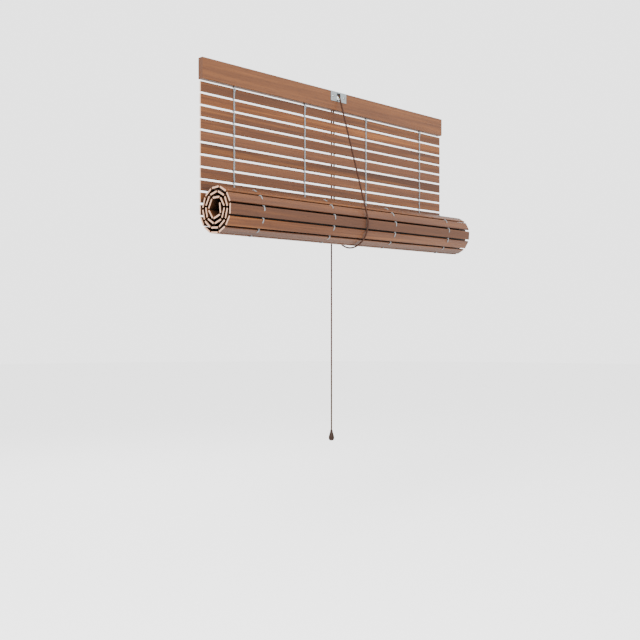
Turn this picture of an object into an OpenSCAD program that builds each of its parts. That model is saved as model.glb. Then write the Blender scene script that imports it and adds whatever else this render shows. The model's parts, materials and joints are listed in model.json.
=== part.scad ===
// Roll-up slat blind: flat wooden slats tied into four string columns, rolled up from the bottom by one
// lift cord that runs over a pulley in the head board. It is drawn most of the way up.
// The origin is the centre of the head board's top face; X runs along the blind and the front faces -Y.

/* [Blind] */
// Width of the head board and of every slat
blind_width = 950; // [820:10:1200]
// Number of slats
slat_count = 41; // [30:1:41]
// Number of slats that hang straight above the roll
straight_slats = 11; // [10:1:12]

/* [Slats] */
// Height of a slat
slat_height = 25; // [24:0.5:26]
// Thickness of a slat
slat_thick = 4.6; // [4:0.1:5]
// Distance from one slat to the next
slat_pitch = 30; // [29:0.5:31]
// Chamfer along a slat's long edges
slat_chamfer = 1; // [0.6:0.1:1.2]

/* [Head board] */
// Height of the head board
head_height = 52; // [48:1:60]
// Thickness of the head board
head_thick = 17; // [16:0.5:18]
// How far the slats hang behind the middle of the head board
slat_line = 1.5; // [0:0.5:1.5]
// Distance between the two hanger holes in the top edge
hanger_spacing = 800; // [600:10:800]
// Radius of a hanger hole
hanger_hole_r = 2; // [1.5:0.5:2.5]

/* [Roll] */
// Distance between the layers of the roll
roll_spacing = 11.5; // [11.5:0.1:12.5]
// Radius of the empty core of the roll
core_radius = 21; // [21:0.5:24]

/* [Strings] */
// Distance between the string columns, as a share of the width
string_share = 0.26; // [0.2:0.01:0.28]
// Width of a string column
string_width = 2; // [1.6:0.1:2.4]
// Thickness of a string over a slat's face
string_thick = 1.2; // [0.8:0.1:1.3]

/* [Lift cord] */
// Diameter of the lift cord
cord_d = 4.4; // [4:0.1:4.5]
// Length of the tassel
tassel_length = 30; // [26:1:34]
// Largest diameter of the tassel
tassel_d = 16; // [14:0.5:18]

/* [Cord lock] */
// Width of the lock's face plate
plate_width = 62; // [56:1:70]
// Height of the lock's face plate
plate_height = 27; // [26:0.5:29]
// Thickness of the lock's sheet steel
sheet = 1.2; // [1:0.1:1.2]

/* [Hidden] */
$fn = 64;
cord_sides = 8;
touch = 0.05;
ring_step = 3.5 * cord_d;

slat_gap = slat_pitch - slat_height;
first_knot_z = -head_height - slat_gap / 2;
string_x = [for (i = [-1.5:1:1.5]) i * string_share * blind_width];
link_clear = 0.1;
knot_half = 0.6;
knot_over = 0.3;

plate_top = -0.5;
plate_front = -head_thick / 2 - sheet;
throat_width = 15;
throat_top = -4;
throat_bottom = -24;
sleeve_width = throat_width + 2 * sheet;
sleeve_end = head_thick / 2 + 1;
mortise_clear = 0.1;

pulley_y = -6;
pulley_z = -16.5;
pulley_rim_r = 5.6;
pulley_groove_r = 4.5;
pulley_width = 11;
pulley_bore_r = 1.3;
pin_r = 1.25;
pin_seat_r = 1.27;

lock_y = 5.5;
lock_z = -17;
lock_travel = 3.1;
lock_lean = 42;
lock_r = 2.5;
lock_width = 14;
journal_r = 1;
journal_slot_r = 1.1;

screw_x = 21.5;
screw_z = -14;
screw_head_r = 3.6;
screw_head_height = 1.8;
screw_shank_r = 1.5;
screw_length = 12;
screw_slot = 0.8;

staple_r = 0.6;
staple_leg = 8;
anchor_r = 0.8;
anchor_z = -40;
anchor_half = 3.2;
knot_r = 3.4;
knot_z = -32;

// Routes of the cord, as [x, y, z] points in the order that it runs. At the roll, they go from the knot above it.
roll_knot = knot(straight_slats);
function near_roll(route) = [for (p = route) roll_knot + p];
front_route = concat([[0, -6, -9.5], [0, -9, -10.2], [0, -11.4, -12.1], [0, -12.8, -14.6]],
    near_roll([[0, -118.5, 29]]));
loop_route = near_roll([[0, -118.6, 28.5], [0, -121, 13.5], [0, -119.5, -2.5], [0, -114.5, -17.5],
    [0, -105.5, -31], [0, -93.5, -41.5], [0, -79, -49], [0, -63.5, -52.5], [0, -47.5, -52], [0, -32, -47],
    [0, -18.5, -38.5], [0, -8, -27.5], [0, -0.5, -15]]);
back_route = concat(near_roll([[0, -0.3, -14.5], [0, 4, -5.5], [0, 6.5, 4.5], [0, 7, 18.5]]),
    [[0, 8.5, -120], [0, 11, -60], [0, 11, -36]]);
pull_route = [[0, -5.5, -9.5], [0, 5, -9.6], [0, 9.5, -10], [0, 13, -11.5], [0, 16, -14.5], [0, 18, -19],
    [0, 18.5, -25], [0, 18.5, -951]];
tassel_top = -945;
tassel_bore_depth = 6;
tassel_bore_clear = 0.1;

function slat_name(k) = str("slat_", k < 10 ? "0" : "", k);
function string_name(i) = str("ladder_string_", i + 1);

// The bend at the knot under slat k. Slats are counted from the top, and the roll's layers from its core.
function roll_radius(k) = sqrt(pow(core_radius, 2) + roll_spacing * slat_pitch * (slat_count - k) / PI);
function bend(k) = k < straight_slats ? 0 : 2 * asin(slat_pitch / (2 * roll_radius(k)));
function heading(k) = k <= 1 ? 0 : heading(k - 1) + bend(k - 1);
function down(angle) = [0, -sin(angle), -cos(angle)];
function knot(k) = k == 0 ? [0, slat_line, first_knot_z] : knot(k - 1) + slat_pitch * down(heading(k));

// A tube of flat-sided rings, swept along a route. Each ring stands square to the route at its point.
function unit(v) = v / norm(v);
function resampled(route) = concat(
    [for (i = [0:len(route) - 2])
        let (a = route[i], b = route[i + 1], steps = ceil(norm(b - a) / ring_step))
        for (s = [0:steps - 1]) a + (b - a) * s / steps],
    [route[len(route) - 1]]);
function tangent(p, i) = unit(p[min(i + 1, len(p) - 1)] - p[max(i - 1, 0)]);
function ring(p, i, r) = let (t = tangent(p, i), side = [1, 0, 0], up = cross(t, side))
    [for (s = [0:cord_sides - 1]) let (a = 360 * (s + 0.5) / cord_sides) p[i] + r * (cos(a) * side + sin(a) * up)];

module tube(route, r) {
    p = resampled(route);
    last = len(p) - 1;
    points = [for (i = [0:last]) each ring(p, i, r)];
    walls = [for (i = [0:last - 1], s = [0:cord_sides - 1])
        let (a = i * cord_sides + s, b = i * cord_sides + (s + 1) % cord_sides)
        [a, b, b + cord_sides, a + cord_sides]];
    near_end = [for (s = [cord_sides - 1:-1:0]) s];
    far_end = [for (s = [0:cord_sides - 1]) last * cord_sides + s];
    polyhedron(points = points, faces = concat([near_end], walls, [far_end]));
}

module along_x(length) {
    rotate([90, 0, 90]) translate([0, 0, -length / 2]) linear_extrude(height = length) children();
}

module rod_x(r, length) {
    rotate([0, 90, 0]) cylinder(r = r, h = length, center = true);
}

module at_slat(k) {
    middle = (knot(k - 1) + knot(k)) / 2;
    translate(middle) rotate([-heading(k), 0, 0]) children();
}

module chamfered_rectangle(width, height, chamfer) {
    w = width / 2;
    h = height / 2;
    polygon([[w, h - chamfer], [w - chamfer, h], [chamfer - w, h], [-w, h - chamfer],
        [-w, chamfer - h], [chamfer - w, -h], [w - chamfer, -h], [w, chamfer - h]]);
}

module head_board() {
    mortise_width = sleeve_width + 2 * mortise_clear;
    mortise_top = throat_top + sheet + mortise_clear;
    mortise_height = mortise_top - (throat_bottom - sheet - mortise_clear);
    color([0.45, 0.29, 0.19])
    difference() {
        translate([0, 0, -head_height / 2])
            along_x(blind_width) chamfered_rectangle(head_thick, head_height, slat_chamfer);
        translate([-mortise_width / 2, -head_thick, mortise_top - mortise_height])
            cube([mortise_width, 2 * head_thick, mortise_height]);
        for (x = [-1, 1] * hanger_spacing / 2)
            translate([x, 0, -25]) cylinder(r = hanger_hole_r, h = 26);
        for (x = [-screw_x, screw_x])
            translate([x, -head_thick / 2, screw_z]) rotate([-90, 0, 0])
                translate([0, 0, -1]) cylinder(r = screw_shank_r + touch, h = screw_length);
    }
}

module journal_slot() {
    translate([0, lock_y, lock_z]) rotate([lock_lean, 0, 0]) {
        rod_x(journal_slot_r, 2 * sleeve_width);
        translate([0, 0, lock_travel]) rod_x(journal_slot_r, 2 * sleeve_width);
        translate([0, 0, lock_travel / 2])
            cube([2 * sleeve_width, 2 * journal_slot_r, lock_travel], center = true);
    }
}

module lock_housing() {
    throat_height = throat_top - throat_bottom;
    throat_middle = (throat_top + throat_bottom) / 2;
    sleeve_length = sleeve_end - plate_front;
    color([0.72, 0.73, 0.74])
    difference() {
        union() {
            translate([0, plate_front + sheet / 2, plate_top - plate_height / 2])
                cube([plate_width, sheet, plate_height], center = true);
            translate([0, (plate_front + sleeve_end) / 2, throat_middle])
                cube([sleeve_width, sleeve_length, throat_height + 2 * sheet], center = true);
        }
        translate([0, 0, throat_middle]) cube([throat_width, 4 * head_thick, throat_height], center = true);
        translate([0, pulley_y, pulley_z]) rod_x(pin_seat_r, 2 * sleeve_width);
        journal_slot();
        for (x = [-screw_x, screw_x])
            translate([x, 0, screw_z]) rotate([90, 0, 0])
                cylinder(r = screw_shank_r + touch, h = 2 * head_thick, center = true);
    }
}

module housing_screw(x) {
    color([0.78, 0.78, 0.78])
    translate([x, plate_front, screw_z]) rotate([90, 0, 0]) {
        difference() {
            cylinder(r1 = screw_head_r, r2 = screw_head_r * 0.6, h = screw_head_height);
            for (turn = [0, 90])
                rotate([0, 0, turn]) translate([0, 0, screw_head_height])
                    cube([screw_head_r, screw_slot, screw_head_height], center = true);
        }
        translate([0, 0, -screw_length + 1]) cylinder(r = screw_shank_r, h = screw_length - 1);
    }
}

module pulley() {
    half = pulley_width / 2;
    groove_half = cord_d / 2 + 0.4;
    rim = groove_half + pulley_rim_r - pulley_groove_r;
    color([0.95, 0.95, 0.93])
    translate([0, pulley_y, pulley_z]) rotate([0, 90, 0]) rotate_extrude()
        polygon([[pulley_bore_r, -half], [pulley_rim_r, -half], [pulley_rim_r, -rim],
            [pulley_groove_r, -groove_half], [pulley_groove_r, groove_half], [pulley_rim_r, rim],
            [pulley_rim_r, half], [pulley_bore_r, half]]);
}

module pulley_pin() {
    color([0.6, 0.6, 0.6])
    translate([0, pulley_y, pulley_z]) rod_x(pin_r, sleeve_width);
}

module lock_roller() {
    color([0.75, 0.6, 0.3])
    translate([0, lock_y, lock_z]) {
        rod_x(lock_r, lock_width);
        rod_x(journal_r, sleeve_width);
    }
}

// A staple with its crown along X, its legs along +Z and the origin at the crown's middle.
module staple(half_width, leg, r) {
    rod_x(r, 2 * half_width);
    for (x = [-half_width, half_width])
        translate([x, 0, 0]) {
            sphere(r = r);
            cylinder(r = r, h = leg);
        }
}

module ladder_staples() {
    crown_z = (first_knot_z - knot_over - head_height) / 2 - touch;
    color([0.7, 0.7, 0.7])
    for (x = string_x)
        translate([x, slat_line, crown_z]) staple(2.4, staple_leg, staple_r);
}

module cord_anchor() {
    crown_y = head_thick / 2 + cord_d + anchor_r + 0.4;
    color([0.7, 0.7, 0.7])
    translate([0, crown_y, anchor_z]) rotate([90, 0, 0]) staple(anchor_half, staple_leg + cord_d, anchor_r);
}

module slat(k) {
    color([0.55, 0.37, 0.26])
    at_slat(k) along_x(blind_width) chamfered_rectangle(slat_thick, slat_height, slat_chamfer);
}

// One tie of a string column: it goes round a slat and closes in the gaps above and below it.
module slat_tie() {
    inner = slat_thick / 2 + link_clear;
    outer = inner + string_thick;
    shoulder = slat_height / 2 - slat_chamfer;
    tip = slat_pitch / 2 + knot_over;
    along_x(string_width)
    difference() {
        polygon([[outer, shoulder], [knot_half, tip], [-knot_half, tip], [-outer, shoulder],
            [-outer, -shoulder], [-knot_half, -tip], [knot_half, -tip], [outer, -shoulder]]);
        chamfered_rectangle(2 * inner, slat_height + 2 * link_clear, slat_chamfer);
    }
}

// The eye above the first knot, which hangs on a staple's crown.
module string_eye() {
    half = staple_r + string_thick / 2;
    top = -head_height - touch;
    bottom = first_knot_z - knot_over;
    hole = staple_r + touch;
    along_x(string_width)
    translate([slat_line, (top + bottom) / 2])
    difference() {
        square([2 * half, top - bottom], center = true);
        square([2 * hole, 2 * hole], center = true);
    }
}

module ladder_string(i) {
    color([0.62, 0.63, 0.65])
    translate([string_x[i], 0, 0]) {
        string_eye();
        for (k = [1:slat_count]) at_slat(k) slat_tie();
    }
}

module lift_cord_front() {
    color([0.2, 0.12, 0.08]) tube(front_route, cord_d / 2);
}

module lift_cord_loop() {
    color([0.2, 0.12, 0.08]) tube(loop_route, cord_d / 2);
}

module lift_cord_back() {
    color([0.2, 0.12, 0.08]) tube(back_route, cord_d / 2);
}

// The knot that stops the cord above its staple.
module cord_knot() {
    color([0.2, 0.12, 0.08])
    translate([0, head_thick / 2 + knot_r + touch, knot_z]) sphere(r = knot_r);
}

module pull_cord() {
    color([0.2, 0.12, 0.08]) tube(pull_route, cord_d / 2);
}

module tassel() {
    neck_r = cord_d / 2 + 1.2;
    belly_r = tassel_d / 2;
    bore_r = cord_d / 2 + tassel_bore_clear;
    shoulder_z = belly_r - tassel_length;
    color([0.3, 0.2, 0.13])
    translate([0, pull_route[7][1], tassel_top])
    difference() {
        union() {
            translate([0, 0, shoulder_z]) sphere(r = belly_r);
            translate([0, 0, shoulder_z + belly_r / 2])
                cylinder(r1 = belly_r * cos(30), r2 = neck_r, h = -shoulder_z - belly_r / 2);
        }
        translate([0, 0, -tassel_bore_depth]) cylinder(r = bore_r, h = 2 * tassel_bore_depth);
    }
}

head_board();
lock_housing();
housing_screw(-screw_x);  // housing_screw_left
housing_screw(screw_x);  // housing_screw_right
pulley();
pulley_pin();
lock_roller();
ladder_staples();
cord_anchor();
for (i = [0:3])
    ladder_string(i);
for (k = [1:slat_count])
    slat(k);
lift_cord_front();
lift_cord_loop();
lift_cord_back();
cord_knot();
pull_cord();
tassel();
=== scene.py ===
"""A roll-up slat blind, most of the way up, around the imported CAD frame."""
import json
import math

import bpy
import numpy as np
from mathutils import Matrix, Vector

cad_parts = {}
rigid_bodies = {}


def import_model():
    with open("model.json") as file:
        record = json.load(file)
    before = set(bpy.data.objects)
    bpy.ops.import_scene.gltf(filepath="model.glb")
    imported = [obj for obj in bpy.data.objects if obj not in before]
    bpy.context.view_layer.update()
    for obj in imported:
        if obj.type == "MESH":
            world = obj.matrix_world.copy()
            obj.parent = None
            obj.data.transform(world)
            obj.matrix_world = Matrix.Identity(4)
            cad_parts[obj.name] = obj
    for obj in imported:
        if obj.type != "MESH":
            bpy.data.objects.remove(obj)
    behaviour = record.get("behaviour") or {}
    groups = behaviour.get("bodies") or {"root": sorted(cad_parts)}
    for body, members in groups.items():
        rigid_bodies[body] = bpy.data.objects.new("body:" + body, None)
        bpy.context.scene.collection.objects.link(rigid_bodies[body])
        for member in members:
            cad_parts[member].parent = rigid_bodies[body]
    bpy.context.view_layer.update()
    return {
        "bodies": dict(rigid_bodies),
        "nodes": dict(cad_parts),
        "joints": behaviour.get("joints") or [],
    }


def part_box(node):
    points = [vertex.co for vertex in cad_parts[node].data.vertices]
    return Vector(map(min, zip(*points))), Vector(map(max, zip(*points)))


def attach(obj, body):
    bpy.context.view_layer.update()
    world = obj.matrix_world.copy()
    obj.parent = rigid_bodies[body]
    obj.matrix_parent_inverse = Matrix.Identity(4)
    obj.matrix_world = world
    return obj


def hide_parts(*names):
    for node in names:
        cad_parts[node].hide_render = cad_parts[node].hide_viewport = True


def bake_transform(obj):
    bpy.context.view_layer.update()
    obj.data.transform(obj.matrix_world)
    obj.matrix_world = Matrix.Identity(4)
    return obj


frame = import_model()
NODES = frame["nodes"]
MM = 0.001

# ---------------------------------------------------------------- camera
EYE = Vector((-1.798, -1.720, -0.636))
head_low, head_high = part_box("head_board")


def bearing(x):
    """The direction in which the eye sees the point x of the plane Y = 0, as an angle from +X."""
    return math.atan2(-EYE.y, x - EYE.x)


aim = (bearing(head_low.x) + bearing(head_high.x)) / 2
camera = bpy.data.objects.new("camera", bpy.data.cameras.new("camera"))
camera.data.lens = 50
camera.data.sensor_width = 36
camera.location = EYE
camera.rotation_euler = (math.pi / 2, 0, aim - math.pi / 2)
bpy.context.scene.collection.objects.link(camera)
bpy.context.scene.camera = camera


# ---------------------------------------------------------------- mesh code
class Soup:
    """Collects vertices, faces and texture coordinates for one mesh."""

    def __init__(self):
        self.points, self.faces, self.uv = [], [], []

    def tube(self, path, radius, sides, closed=False):
        """A round tube along a path. Its texture runs round the tube in U and along it, in mm, in V."""
        path = np.array(path, float)
        count = len(path)
        if closed:
            along = np.roll(path, -1, 0) - np.roll(path, 1, 0)
        else:
            along = np.gradient(path, axis=0)
        along /= np.linalg.norm(along, axis=1)[:, None]
        side = np.array([1.0, 0, 0])
        if abs(along[0][0]) > 0.9:
            side = np.array([0, 1.0, 0])
        first, run = len(self.points), 0.0
        runs = []
        for i in range(count):
            side = side - along[i] * side.dot(along[i])
            side /= np.linalg.norm(side)
            up = np.cross(along[i], side)
            for s in range(sides):
                a = 2 * math.pi * s / sides
                self.points.append(path[i] + radius * (math.cos(a) * side + math.sin(a) * up))
            runs.append(run)
            if i + 1 < count:
                run += np.linalg.norm(path[i + 1] - path[i]) / MM
        rows = count if closed else count - 1
        for i in range(rows):
            j = (i + 1) % count
            v0, v1 = runs[i], runs[i] + (runs[1] if j == 0 else runs[j] - runs[i])
            for s in range(sides):
                t = (s + 1) % sides
                self.faces.append([first + i * sides + s, first + i * sides + t,
                                   first + j * sides + t, first + j * sides + s])
                u0, u1 = s / sides, (s + 1) / sides
                self.uv.append([(u0, v0), (u1, v0), (u1, v1), (u0, v1)])
        if not closed:
            near = [first + s for s in range(sides)][::-1]
            far = [first + (count - 1) * sides + s for s in range(sides)]
            for ring in (near, far):
                self.faces.append(ring)
                self.uv.append([(s / sides, 0) for s in range(sides)])

    def lathe(self, centre, profile, sides):
        """A closed outline of (radius, height) points, turned about an upright axis through centre."""
        first = len(self.points)
        for r, z in profile:
            for s in range(sides):
                a = 2 * math.pi * s / sides
                self.points.append(np.array([centre[0] + r * math.cos(a), centre[1] + r * math.sin(a),
                                             centre[2] + z]))
        count = len(profile)
        for i in range(count):
            j = (i + 1) % count
            for s in range(sides):
                t = (s + 1) % sides
                self.faces.append([first + i * sides + s, first + j * sides + s,
                                   first + j * sides + t, first + i * sides + t])
                u0, u1 = s / sides, (s + 1) / sides
                v0, v1 = profile[i][1] / MM, profile[j][1] / MM
                self.uv.append([(u0, v0), (u0, v1), (u1, v1), (u1, v0)])

    def piece(self, name, material):
        """Makes the object. Its four-sided faces are smooth, and the flat ends of its tubes aren't."""
        mesh = bpy.data.meshes.new(name)
        mesh.from_pydata([tuple(p) for p in self.points], [], self.faces)
        layer = mesh.uv_layers.new(name="UVMap")
        layer.data.foreach_set("uv", [c for face in self.uv for corner in face for c in corner])
        mesh.polygons.foreach_set("use_smooth", [len(f) == 4 for f in self.faces])
        mesh.materials.append(material)
        mesh.update()
        made = bpy.data.objects.new(name, mesh)
        bpy.context.scene.collection.objects.link(made)
        return made


def smooth_path(points, step):
    """Points about a step apart or less, on a centripetal Catmull-Rom curve through the given points."""
    p = [Vector(q) for q in points]
    p = [p[0] * 2 - p[1], *p, p[-1] * 2 - p[-2]]
    out = []
    for i in range(1, len(p) - 2):
        a, b, c, d = p[i - 1:i + 3]
        t = [0.0]
        for u, v in ((a, b), (b, c), (c, d)):
            t.append(t[-1] + max((v - u).length, 1e-9) ** 0.5)
        n = max(1, math.ceil((c - b).length / step))
        for s in range(n):
            x = t[1] + (t[2] - t[1]) * s / n
            a1 = a * ((t[1] - x) / (t[1] - t[0])) + b * ((x - t[0]) / (t[1] - t[0]))
            a2 = b * ((t[2] - x) / (t[2] - t[1])) + c * ((x - t[1]) / (t[2] - t[1]))
            a3 = c * ((t[3] - x) / (t[3] - t[2])) + d * ((x - t[2]) / (t[3] - t[2]))
            b1 = a1 * ((t[2] - x) / (t[2] - t[0])) + a2 * ((x - t[0]) / (t[2] - t[0]))
            b2 = a2 * ((t[3] - x) / (t[3] - t[1])) + a3 * ((x - t[1]) / (t[3] - t[1]))
            out.append(b1 * ((t[2] - x) / (t[2] - t[1])) + b2 * ((x - t[1]) / (t[2] - t[1])))
    out.append(p[-2])
    return out


# ---------------------------------------------------------------- material code
class Nodes:
    """A short way to write shader nodes."""

    def __init__(self, name):
        self.material = bpy.data.materials.new(name)
        self.material.use_nodes = True
        self.tree = self.material.node_tree
        self.shader = self.tree.nodes["Principled BSDF"]

    def add(self, kind, settings=None, **inputs):
        """A node of this kind, with its settings, and each named input set or linked."""
        node = self.tree.nodes.new(kind)
        for key, value in (settings or {}).items():
            setattr(node, key, value)
        for key, value in inputs.items():
            self.put(node.inputs[key], value)
        return node

    def put(self, socket, value):
        """Links a socket to another node's output, or sets its value."""
        if isinstance(value, bpy.types.NodeSocket):
            self.tree.links.new(value, socket)
        else:
            socket.default_value = value

    def math(self, operation, a, b=0.0, clamp=False):
        node = self.tree.nodes.new("ShaderNodeMath")
        node.operation, node.use_clamp = operation, clamp
        self.put(node.inputs[0], a)
        self.put(node.inputs[1], b)
        return node.outputs[0]

    def mix(self, factor, a, b, how="MIX"):
        node = self.tree.nodes.new("ShaderNodeMix")
        node.data_type, node.blend_type = "RGBA", how
        self.put(node.inputs[0], factor)
        self.put(node.inputs[6], a)
        self.put(node.inputs[7], b)
        return node.outputs[2]

    def ramp(self, value, *stops):
        """A colour ramp through stops of (position, colour)."""
        node = self.tree.nodes.new("ShaderNodeValToRGB")
        while len(node.color_ramp.elements) < len(stops):
            node.color_ramp.elements.new(0.5)
        for element, (at, colour) in zip(node.color_ramp.elements, stops):
            element.position, element.color = at, rgb(colour)
        self.put(node.inputs[0], value)
        return node.outputs[0]

    def scaled(self, vector, x, y, z):
        node = self.tree.nodes.new("ShaderNodeVectorMath")
        node.operation = "MULTIPLY"
        self.put(node.inputs[0], vector)
        node.inputs[1].default_value = (x, y, z)
        return node.outputs[0]

    def noise(self, vector, scale, detail=3, rough=0.5, w=0.0, distortion=0.0):
        node = self.tree.nodes.new("ShaderNodeTexNoise")
        node.noise_dimensions = "4D"
        self.put(node.inputs["Vector"], vector)
        self.put(node.inputs["W"], w)
        node.inputs["Scale"].default_value = scale
        node.inputs["Detail"].default_value = detail
        node.inputs["Roughness"].default_value = rough
        node.inputs["Distortion"].default_value = distortion
        return node.outputs["Fac"]

    def bump(self, height, strength, distance):
        node = self.add("ShaderNodeBump", Height=height)
        node.inputs["Strength"].default_value = strength
        node.inputs["Distance"].default_value = distance
        self.put(self.shader.inputs["Normal"], node.outputs[0])

    def finish(self, colour, roughness, **fixed):
        """Gives the shader its colour and roughness, and sets its other inputs to plain numbers."""
        self.put(self.shader.inputs["Base Color"], colour)
        self.put(self.shader.inputs["Roughness"], roughness)
        for key, value in fixed.items():
            self.shader.inputs[key.replace("_", " ")].default_value = value
        return self.material


def rgb(colour):
    """A screen colour, 0 to 255, as linear light. A single number is that much grey, linear already."""
    if not hasattr(colour, "__len__"):
        return (colour, colour, colour, 1.0)
    linear = [c / 12.92 if c <= 0.04045 else ((c + 0.055) / 1.055) ** 2.4 for c in (v / 255 for v in colour)]
    return (*linear, 1.0)


def span(nodes, value, low, high):
    """A 0 to 1 value stretched to run from low to high."""
    return nodes.math("ADD", nodes.math("MULTIPLY", value, high - low), low)


def wood(name, dark, middle, light, end):
    """Oiled wood with its grain along X. Each object has its own place in the grain and its own tone, and the
    two ends of a piece are paler. Shade is painted into the colour wherever other surfaces are near, so
    narrow gaps are dark."""
    # Each scale is in waves to the metre, along the grain and then in the two directions across it.
    n = Nodes(name)
    place = n.add("ShaderNodeTexCoord")
    own = n.add("ShaderNodeObjectInfo").outputs["Random"]
    shift = n.math("MULTIPLY", own, 40.0)
    spot = place.outputs["Object"]
    figure = n.noise(n.scaled(spot, 1.6, 55, 55), 1.0, 4, 0.55, shift, 0.6)
    bands = n.noise(n.scaled(spot, 3.5, 260, 260), 1.0, 3, 0.6, shift, 0.3)
    fibre = n.noise(n.scaled(spot, 14, 1500, 1500), 1.0, 2, 0.6, shift)
    pores = n.noise(n.scaled(spot, 45, 1500, 1500), 1.0, 1, 0.5, shift)
    blotch = n.noise(n.scaled(spot, 5, 9, 9), 1.0, 2, 0.5, shift)
    pattern = n.math("ADD", n.math("MULTIPLY", figure, 0.6), n.math("MULTIPLY", bands, 0.4))
    colour = n.ramp(pattern, (0.32, dark), (0.50, middle), (0.68, light))
    colour = n.mix(n.math("MULTIPLY", own, 0.55), colour, rgb((84, 52, 34)))
    tint = n.math("ADD", n.math("MULTIPLY", n.math("FRACT", n.math("MULTIPLY", own, 7.31)), 0.60), 0.68)
    tint = n.math("MULTIPLY", tint, span(n, blotch, 0.86, 1.14))
    tint = n.math("MULTIPLY", tint, span(n, fibre, 0.84, 1.16))
    tint = n.add("ShaderNodeCombineColor", Red=tint, Green=tint, Blue=tint).outputs[0]
    colour = n.mix(1.0, colour, tint, "MULTIPLY")
    pore = n.ramp(pores, (0.60, 0.0), (0.70, 1.0))
    colour = n.mix(n.math("MULTIPLY", pore, 0.45), colour, rgb((20, 10, 5)))
    across = n.add("ShaderNodeSeparateXYZ", Vector=place.outputs["Normal"]).outputs["X"]
    at_end = n.math("GREATER_THAN", n.math("ABSOLUTE", across), 0.6)
    rays = n.noise(n.scaled(spot, 1, 1700, 700), 1.0, 2, 0.6, shift)
    end_colour = n.mix(span(n, rays, 0.0, 0.8), rgb(end), rgb([c * 0.82 for c in end]))
    colour = n.mix(at_end, colour, end_colour)
    # Painted shade: an ambient-occlusion reading darkens the colour in narrow gaps, inside the roll and near
    # other parts.
    painted_gap_shade = n.add("ShaderNodeAmbientOcclusion", {"samples": 8}, Distance=0.06).outputs["AO"]
    colour = n.mix(1.0, colour, n.ramp(painted_gap_shade, (0.22, 0.03), (0.72, 1.0)), "MULTIPLY")
    height = n.math("ADD", fibre, n.math("MULTIPLY", bands, 0.6))
    n.bump(n.math("SUBTRACT", height, n.math("MULTIPLY", pore, 0.7)), 0.35, 0.00025)
    return n.finish(colour, span(n, fibre, 0.42, 0.62), Specular_IOR_Level=0.18)


def turned(name, dark, light):
    """Dark polished wood with its grain upright and faint rings from the lathe."""
    n = Nodes(name)
    spot = n.add("ShaderNodeTexCoord").outputs["Object"]
    grain = n.noise(n.scaled(spot, 900, 900, 60), 1.0, 4, 0.6)
    rings = n.noise(n.scaled(spot, 20, 20, 1600), 1.0, 2, 0.5)
    shade = n.math("ADD", n.math("MULTIPLY", grain, 0.75), n.math("MULTIPLY", rings, 0.25))
    n.bump(n.math("ADD", rings, n.math("MULTIPLY", grain, 0.5)), 0.2, 0.0002)
    colour = n.ramp(shade, (0.35, dark), (0.65, light))
    return n.finish(colour, span(n, grain, 0.35, 0.55), Specular_IOR_Level=0.15)


def metal(name, colour, low, high, scale):
    """Plain metal in fine flakes, with scale of them to the metre. Its roughness runs from low to high."""
    n = Nodes(name)
    spot = n.add("ShaderNodeTexCoord").outputs["Object"]
    flake = n.add("ShaderNodeTexVoronoi", Vector=spot)
    flake.inputs["Scale"].default_value = scale
    tone = n.add("ShaderNodeSeparateColor", Color=flake.outputs["Color"]).outputs["Red"]
    wear = n.noise(spot, scale * 0.4, 4, 0.6)
    shade = n.math("ADD", span(n, tone, 0.86, 1.0), span(n, wear, -0.08, 0.04))
    shade = n.add("ShaderNodeCombineColor", Red=shade, Green=shade, Blue=shade).outputs[0]
    paint = n.mix(1.0, rgb(colour), shade, "MULTIPLY")
    n.bump(n.noise(spot, scale * 3, 2, 0.5), 0.08, 0.0002)
    return n.finish(paint, span(n, wear, low, high), Metallic=1.0)


def plastic(name, colour):
    """Smooth moulded plastic that lets a little light in."""
    n = Nodes(name)
    spot = n.add("ShaderNodeTexCoord").outputs["Object"]
    cloud = n.noise(spot, 400, 3, 0.5)
    n.bump(n.noise(spot, 2500, 2, 0.5), 0.06, 0.0001)
    paint = n.mix(cloud, rgb(colour), rgb([c * 0.9 for c in colour]))
    return n.finish(paint, span(n, cloud, 0.32, 0.46), Subsurface_Weight=0.15)


def braid(name, dark, light, strands, lay, roughness):
    """A braided cord. Strands go round it both ways, and one turn of a strand is lay mm long."""
    n = Nodes(name)
    uv = n.add("ShaderNodeSeparateXYZ", Vector=n.add("ShaderNodeUVMap", {"uv_map": "UVMap"}).outputs["UV"])
    turn = n.math("MULTIPLY", uv.outputs["X"], float(strands))
    run = n.math("DIVIDE", uv.outputs["Y"], lay / strands)
    one = n.math("SINE", n.math("MULTIPLY", n.math("ADD", turn, run), 2 * math.pi))
    two = n.math("SINE", n.math("MULTIPLY", n.math("SUBTRACT", turn, run), 2 * math.pi))
    weave = span(n, n.math("MAXIMUM", one, two), 0.5, 1.0)
    spot = n.add("ShaderNodeTexCoord").outputs["Object"]
    fuzz = n.noise(spot, 2600, 3, 0.6)
    stain = n.noise(spot, 30, 3, 0.6)
    shade = n.math("MULTIPLY", n.math("ADD", n.math("MULTIPLY", weave, 0.7), n.math("MULTIPLY", fuzz, 0.3)),
                   span(n, stain, 0.8, 1.2), True)
    paint = n.ramp(shade, (0.25, dark), (0.95, light))
    n.bump(n.math("ADD", weave, n.math("MULTIPLY", fuzz, 0.4)), 0.7, 0.0004)
    return n.finish(paint, roughness, Specular_IOR_Level=0.15)


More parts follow.
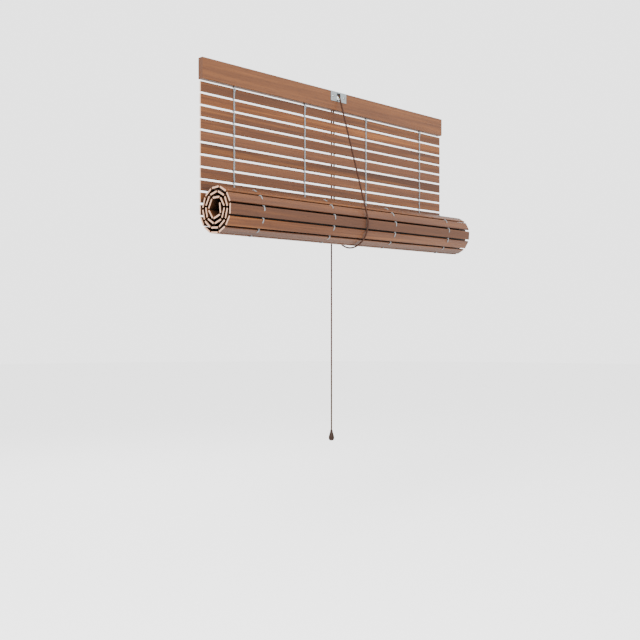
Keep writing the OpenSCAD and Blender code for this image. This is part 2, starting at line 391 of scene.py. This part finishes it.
WOOD = wood("slat_wood", (40, 18, 7), (77, 42, 16), (116, 69, 29), (176, 138, 114))
HEAD_WOOD = wood("head_wood", (42, 20, 7), (73, 41, 16), (98, 58, 25), (74, 42, 21))
STEEL = metal("plate_steel", (128, 134, 136), 0.3, 0.5, 260)
SCREW = metal("screw_steel", (130, 132, 132), 0.25, 0.45, 900)
WIRE = metal("wire_steel", (130, 132, 134), 0.3, 0.45, 1200)
BRASS = metal("roller_brass", (202, 168, 104), 0.25, 0.45, 1000)
NYLON = plastic("pulley_plastic", (240, 239, 232))
CORD = braid("lift_cord", (10, 4, 2), (62, 32, 15), 8, 16, 0.6)
STRING = braid("ladder_string", (66, 68, 70), (136, 139, 141), 3, 6, 0.7)
TASSEL = turned("tassel_wood", (10, 5, 2), (46, 24, 12))

FINISH = {"lock_housing": STEEL, "housing_screw_left": SCREW, "housing_screw_right": SCREW, "pulley": NYLON,
          "pulley_pin": WIRE, "lock_roller": BRASS, "ladder_staples": WIRE, "cord_anchor": WIRE,
          "head_board": HEAD_WOOD}
for name, node in NODES.items():
    node.data.materials.clear()
    node.data.materials.append(WOOD if name.startswith("slat_") else FINISH.get(name, CORD))
    weld = node.modifiers.new("weld", "WELD")
    weld.merge_threshold = 2e-6
    if name.startswith("slat_") or name in ("head_board", "lock_housing"):
        bevel = node.modifiers.new("bevel", "BEVEL")
        bevel.width = 0.25 * MM if name == "lock_housing" else 0.45 * MM
        bevel.segments = 2
        bevel.limit_method = "ANGLE"
        bevel.angle_limit = math.radians(28)
        bevel.use_clamp_overlap = True

# ---------------------------------------------------------------- where the slats are
HALF_PITCH = 15  # in mm, as the slats' own places are
PITCH = 2 * HALF_PITCH * MM
slats = sorted(n for n in NODES if n.startswith("slat_"))


def slat_frames():
    """Each slat's centre and its direction down the curtain, in Y and Z, read from its CAD solid."""
    joint = next(j for j in frame["joints"] if j["name"] == "fold_01")
    above = np.array(joint["pos_m"][1:], float) + np.array([0, PITCH])
    found = {}
    for name in slats:
        co = np.array([v.co for v in NODES[name].data.vertices], float)[:, 1:]
        centre = (co.min(0) + co.max(0)) / 2
        value, axes = np.linalg.eigh(np.cov((co - centre).T))
        down = axes[:, value.argmax()]
        half = down * PITCH / 2
        if np.linalg.norm(centre - half - above) > np.linalg.norm(centre + half - above):
            down = -down
        above = centre + down * PITCH / 2
        found[name] = (centre, down)
    return found


SLATS = slat_frames()
loose = [n for n in slats if n in frame["bodies"]]
rolled = [n for n in slats if n not in frame["bodies"]]


def on_slat(name, x, down, out):
    """A point by a slat: at x, and from its centre down the curtain and out in front of it, both in mm."""
    centre, d = SLATS[name]
    y, z = centre + d * down * MM + np.array([d[1], -d[0]]) * out * MM
    return (x, y, z)


# ---------------------------------------------------------------- lift cord
CORD_R = 2.2 * MM
CORD_SIDES = 12
CORD_STEP = 4 * MM
KNOT_CORD_R = 1.45 * MM
KNOT_STEPS = 72
# The routes, as (Y, Z) in mm on the blind's middle: down the front, round the roll, up the back, and
# from the lock down to the tassel.
front_route = [(-6, -9.5), (-9, -10.2), (-11.4, -12.1), (-12.8, -14.6), (-117, -355.5)]
loop_route = [(-117.1, -356), (-119.5, -371), (-118, -387), (-113, -402), (-104, -415.5), (-92, -426),
              (-77.5, -433.5), (-62, -437), (-46, -436.5), (-30.5, -431.5), (-17, -423), (-6.5, -412),
              (1, -399.5)]
back_route = [(1.2, -399), (5.5, -390), (8, -380), (8.5, -366), (8.5, -120), (11, -60), (11, -36)]
pull_route = [(-5.5, -9.5), (5, -9.6), (9.5, -10), (13, -11.5), (16, -14.5), (18, -19), (18.5, -25),
              (18.5, -951)]
roll_back = (1.1, -399.25)  # where the turn round the roll goes on as the back run


def metres(route):
    """A route's points as (X, Y, Z) in metres."""
    return [(0, y * MM, z * MM) for y, z in route]


def straight_run(a, b, count):
    """Points on the straight line from a to b, in so many equal steps."""
    return [tuple(np.array(a) + (np.array(b) - np.array(a)) * i / count) for i in range(count + 1)]


def cut(path, top, bottom):
    """The part of a path between two heights, top first, with a point on each height that it crosses."""
    out = []
    for a, b in zip(path, path[1:]):
        for z in (top, bottom):
            if (a.z - z) * (b.z - z) < 0:
                out.append(a.lerp(b, (z - a.z) / (b.z - a.z)))
        if bottom <= b.z <= top:
            out.append(b)
    if bottom <= path[0].z <= top:
        out.insert(0, path[0])
    return sorted(out, key=lambda p: -p.z)


front = metres(front_route[:4]) + straight_run(*metres(front_route[3:]), count=60)[1:]
front = smooth_path(front + metres(loop_route[1:]), CORD_STEP)
back = metres(back_route)
back = (back[:4] + straight_run(back[3], back[4], count=40)[1:]
        + straight_run(back[4], back[5], count=10)[1:] + back[6:])
back = smooth_path(metres([*loop_route[-3:-1], roll_back]) + back[1:], CORD_STEP)
back_run = [p for p in back if p.z > (roll_back[1] - 0.1) * MM][::-1]

# The front and back runs are cut at the middle of each hanging slat, so each piece runs across one fold.
middles = [SLATS[n][0][1] for n in loose]
chain = ["head", *loose, "roll"]
split = -345 * MM  # where the front run goes on as the turn round the roll
first_turn = next(i for i, p in enumerate(front) if p.z <= split)
for k, (upper, lower) in enumerate(zip(chain[:-2], chain[1:-1])):
    top = 0.0 if k == 0 else middles[k - 1]
    bottom = split if lower == loose[-1] else middles[k]
    soup = Soup()
    soup.tube(cut(front[:first_turn], top, bottom), CORD_R, CORD_SIDES)
    made = soup.piece(f"front_cord_{k + 1:02d}", CORD)
    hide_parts("lift_cord_front")
    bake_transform(made)

soup = Soup()
soup.tube(front[first_turn - 1:], CORD_R, CORD_SIDES)
made = soup.piece("cord_round_roll", CORD)
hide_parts("lift_cord_loop")
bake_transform(made)

for k, (upper, lower) in enumerate(zip(chain[:-1], chain[1:])):
    top = 0.0 if k == 0 else middles[k - 1]
    bottom = -1.0 if lower == "roll" else middles[k]
    soup = Soup()
    soup.tube(cut(back_run, top, bottom), CORD_R, CORD_SIDES)
    made = soup.piece(f"back_cord_{k + 1:02d}", CORD)
    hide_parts("lift_cord_back")
    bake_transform(made)

knot_low, knot_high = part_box("cord_knot")
knot_centre = (knot_low + knot_high) / 2
trefoil = []
for i in range(KNOT_STEPS):
    a = 2 * math.pi * i / KNOT_STEPS
    wide = 1.35 + 0.55 * math.cos(3 * a)
    point = Vector((wide * math.cos(2 * a), wide * math.sin(2 * a), 1.5 * math.sin(3 * a)))
    trefoil.append(knot_centre + point * MM)
soup = Soup()
soup.tube(trefoil, KNOT_CORD_R, 10, closed=True)
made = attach(soup.piece("knot_above_staple", CORD), "head")
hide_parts("cord_knot")

# The pull cord, which leaves the lock behind the head board, and its tassel.
pull = metres(pull_route)
pull = smooth_path(pull[:7] + straight_run(pull[6], pull[7], count=60)[1:], CORD_STEP)
soup = Soup()
soup.tube(pull, CORD_R, CORD_SIDES)
pull_cord = soup.piece("pull_cord_braid", CORD)
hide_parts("pull_cord")
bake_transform(pull_cord)

tassel_low, tassel_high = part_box("tassel")
belly = (tassel_high.x - tassel_low.x) / 2
tall = tassel_high.z - tassel_low.z
# Its outline from the top down and back up through its bore, as shares of its largest radius and of
# its height.
share = [(0.30, 0.0), (0.40, 0.004), (0.44, 0.02), (0.44, 0.07), (0.40, 0.085), (0.40, 0.10),
         (0.46, 0.115), (0.50, 0.17), (0.58, 0.26), (0.70, 0.37), (0.83, 0.49), (0.93, 0.60),
         (0.985, 0.69), (1.0, 0.755), (0.975, 0.82), (0.90, 0.885), (0.78, 0.935), (0.62, 0.972),
         (0.46, 0.992), (0.34, 1.0), (0.30, 0.985), (0.29, 0.86)]
soup = Soup()
soup.lathe(((tassel_low.x + tassel_high.x) / 2, (tassel_low.y + tassel_high.y) / 2, tassel_high.z),
           [(r * belly, -z * tall) for r, z in share], sides=48)
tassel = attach(soup.piece("tassel_turned", TASSEL), "pull_cord")
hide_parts("tassel")

# ---------------------------------------------------------------- ladder strings
STRAND_R = 0.9 * MM
LOOP_R = 0.8 * MM
STRAND_SIDES = 8
STRAND_GAP = 1.35  # from a column's middle to each of its two strands, in mm
LEAN = 0.9  # how far a strand moves sideways over one slat, in mm
LADDERS = [f"ladder_string_{i}" for i in range(1, 5)]
columns = []
for ladder in LADDERS:
    low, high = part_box(ladder)
    columns.append((low.x + high.x) / 2)


def circle(count):
    """That many angles, equally spaced round a full turn."""
    return (2 * math.pi * s / count for s in range(count))


def slat_strings(soup, name, lean):
    """The strings round one slat: strands down its front, a stitch up its back from each, and a knot."""
    for x in columns:
        for sign in (-1, 1):
            path = []
            for s in range(17):
                t = s / 16
                bow = math.sin(math.pi * t) ** 0.6
                down = -HALF_PITCH + 2 * HALF_PITCH * t
                out = 3.15 * min(1, (HALF_PITCH - abs(down)) / 2.6)
                aside = sign * STRAND_GAP * bow + lean * (t - 0.5)
                path.append(on_slat(name, x + aside * MM, down, out))
            soup.tube(path, STRAND_R, STRAND_SIDES)
            stitch = [(HALF_PITCH, 0.3, 0), (14.2, -1.8, 0.3), (12.6, -2.9, 0.6), (9, -3.1, 0.75),
                      (5.4, -3.1, 0.7), (3.6, -2.9, 0.5), (2.9, -1.4, 0.4)]
            soup.tube([on_slat(name, x + (sign * side + 1.2 * (HALF_PITCH - down) / 12) * MM, down, out)
                       for down, out, side in stitch], STRAND_R, STRAND_SIDES)
        ring = [on_slat(name, x + STRAND_GAP * math.cos(a) * MM, HALF_PITCH + 0.5 * math.sin(2 * a),
                        STRAND_GAP * math.sin(a)) for a in circle(14)]
        soup.tube(ring, LOOP_R, STRAND_SIDES, closed=True)


for k, name in enumerate(loose):
    soup = Soup()
    slat_strings(soup, name, LEAN if k % 2 else -LEAN)
    if k == 0:
        for x in columns:
            loop = [on_slat(name, x + 2.6 * math.cos(a) * MM, -9.5 + 5.5 * math.sin(a),
                            4.4 - 0.8 * math.sin(a)) for a in circle(24)]
            soup.tube(loop, LOOP_R, STRAND_SIDES, closed=True)
    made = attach(soup.piece(f"strings_{name}", STRING), name)
    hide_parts(*LADDERS)
soup = Soup()
for k, name in enumerate(rolled):
    slat_strings(soup, name, LEAN if k % 2 else -LEAN)
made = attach(soup.piece("strings_in_roll", STRING), "roll")
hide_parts(*LADDERS)

# The eyes by which the columns hang from the staples under the head board.
first_knot = SLATS[slats[0]][0] - SLATS[slats[0]][1] * PITCH / 2
soup = Soup()
for x in columns:
    for sign in (-1, 1):
        eye = [(x + sign * 1.1 * MM + 1.0 * math.cos(a) * MM, first_knot[0] + 1.3 * math.sin(a) * MM,
                first_knot[1] + 1.3 * MM + 1.5 * math.cos(a) * MM) for a in circle(16)]
        soup.tube(eye, STRAND_R, STRAND_SIDES, closed=True)
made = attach(soup.piece("string_eyes", STRING), "head")

# ---------------------------------------------------------------- floor and light
FLOOR_Z = -1.40
bpy.ops.mesh.primitive_circle_add(vertices=64, radius=14, fill_type="NGON", location=(0, 0, FLOOR_Z))
floor = bpy.context.object
floor.name = "floor"
paper = Nodes("floor_paper")
paper.finish(rgb((246, 246, 246)), 0.9)
floor.data.materials.append(paper.material)

world = bpy.data.worlds.new("studio")
world.use_nodes = True
world.node_tree.nodes["Background"].inputs["Color"].default_value = (1, 1, 1, 1)
world.node_tree.nodes["Background"].inputs["Strength"].default_value = 2.8
bpy.context.scene.world = world


def lamp(name, place, target, size, power):
    data = bpy.data.lights.new(name, "AREA")
    data.shape, data.size, data.energy = "DISK", size, power
    made = bpy.data.objects.new(name, data)
    made.location = place
    made.rotation_euler = (Vector(target) - Vector(place)).to_track_quat("-Z", "Y").to_euler()
    bpy.context.scene.collection.objects.link(made)


lamp("key", (-2.6, -1.6, 1.3), (0, 0, -0.4), 1.2, 190)
lamp("fill", (1.8, -2.6, 0.4), (0, 0, -0.4), 2.0, 14)
lamp("back", (0.6, 2.6, 1.2), (0, 0, -0.4), 1.6, 50)
